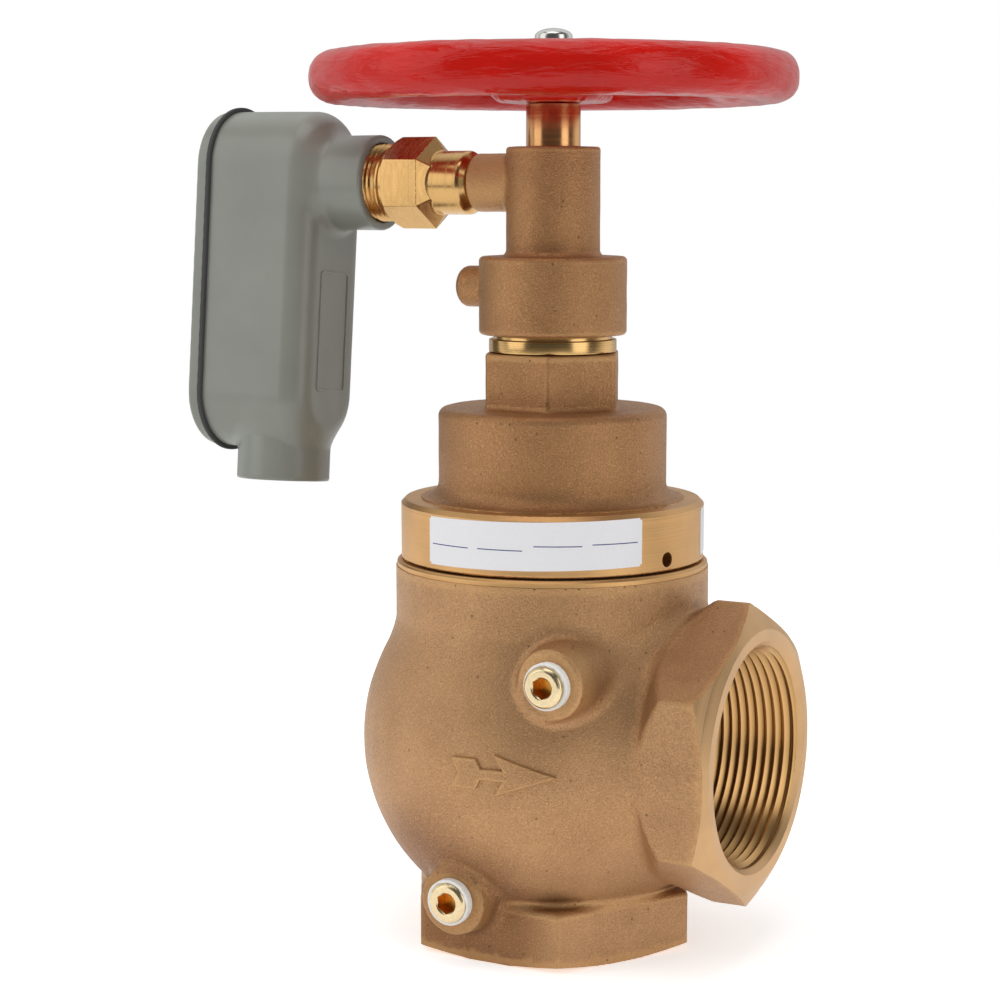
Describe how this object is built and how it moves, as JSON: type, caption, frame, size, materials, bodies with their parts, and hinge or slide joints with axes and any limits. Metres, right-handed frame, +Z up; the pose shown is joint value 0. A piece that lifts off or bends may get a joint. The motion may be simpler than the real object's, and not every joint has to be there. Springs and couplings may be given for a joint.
{
  "type": "fire control valve",
  "caption": "Angle pattern fire hose valve with hexagonal threaded sockets, regulating piston, rising stem, red handwheel and a supervisory switch in a conduit body.",
  "frame": {"origin": "middle of the whole object's outline seen from above, at the height of the inlet face that it stands on; the valve's own axis is at X = +25.15 mm", "axes": "+Z up along the stem, +X out of the outlet, -X towards the conduit body, -Y towards the gauge plugs"},
  "size_m": [0.2108, 0.1606, 0.3042],
  "materials": {
    "cast_bronze": "sand-cast bronze, matt",
    "brass": "machined brass, satin",
    "zinc_steel": "zinc plated",
    "red_enamel": "glossy red enamel",
    "grey_paint": "satin grey paint",
    "black_rubber": "matt black rubber",
    "white_tape": "white thread tape",
    "graphite_packing": "graphite packing",
    "black_plastic": "black moulded plastic",
    "red_plastic": "red moulded plastic"
  },
  "bodies": {
    "valve": {"valve_body": "cast_bronze", "seat_ring": "brass", "upper_gauge_plug": "brass", "lower_gauge_plug": "brass", "upper_gauge_plug_tape": "white_tape", "lower_gauge_plug_tape": "white_tape", "bonnet": "cast_bronze", "bonnet_seal": "black_rubber", "guide_plate": "cast_bronze", "regulating_spring": "zinc_steel", "stem_nut": "brass", "stem_packing": "graphite_packing", "packing_nut": "brass", "switch_housing": "cast_bronze", "conduit_adaptor": "brass", "spring_retainer": "brass", "plunger_spring": "zinc_steel", "conduit_body": "grey_paint", "cover_gasket": "black_rubber", "conduit_cover": "grey_paint", "cover_screw_upper": "zinc_steel", "cover_screw_lower": "zinc_steel", "switch_bracket": "zinc_steel", "bracket_screw": "zinc_steel", "limit_switch": "black_plastic", "switch_screw_upper": "brass", "switch_screw_lower": "brass"},
    "piston_assembly": {"piston": "cast_bronze", "piston_seal": "black_rubber", "seat_disc": "black_rubber", "disc_washer": "brass", "disc_screw": "zinc_steel", "thrust_cap": "brass"},
    "stem_assembly": {"stem": "brass", "handwheel": "red_enamel", "wheel_washer": "zinc_steel", "wheel_nut": "zinc_steel"},
    "plunger": {"switch_plunger": "zinc_steel"},
    "button": {"switch_button": "red_plastic"}
  },
  "joints": [
    {"name": "piston_lift", "type": "slide", "parent": "valve", "child": "piston_assembly", "axis": [0, 0, 1], "range_m": [0, 0.019], "deforming": ["regulating_spring"]},
    {"name": "handwheel_turn", "type": "hinge", "parent": "piston_assembly", "child": "stem_assembly", "pos_m": [0.02515, 0, 0.2884], "axis": [0, 0, 1], "range_deg": [0, 1346]},
    {"name": "plunger_slide", "type": "slide", "parent": "valve", "child": "plunger", "axis": [-1, 0, 0], "range_m": [0, 0.003], "deforming": ["plunger_spring"]},
    {"name": "switch_button_press", "type": "slide", "parent": "valve", "child": "button", "axis": [-1, 0, 0], "range_m": [0, 0.003]}
  ],
  "couplings": [
    {"joint": "piston_lift", "follows": "handwheel_turn", "m_per_rad": 0.00080851},
    {"joint": "plunger_slide", "follows": "handwheel_turn", "m_per_rad": 0.00012769},
    {"joint": "switch_button_press", "follows": "handwheel_turn", "m_per_rad": 0.00012769}
  ]
}
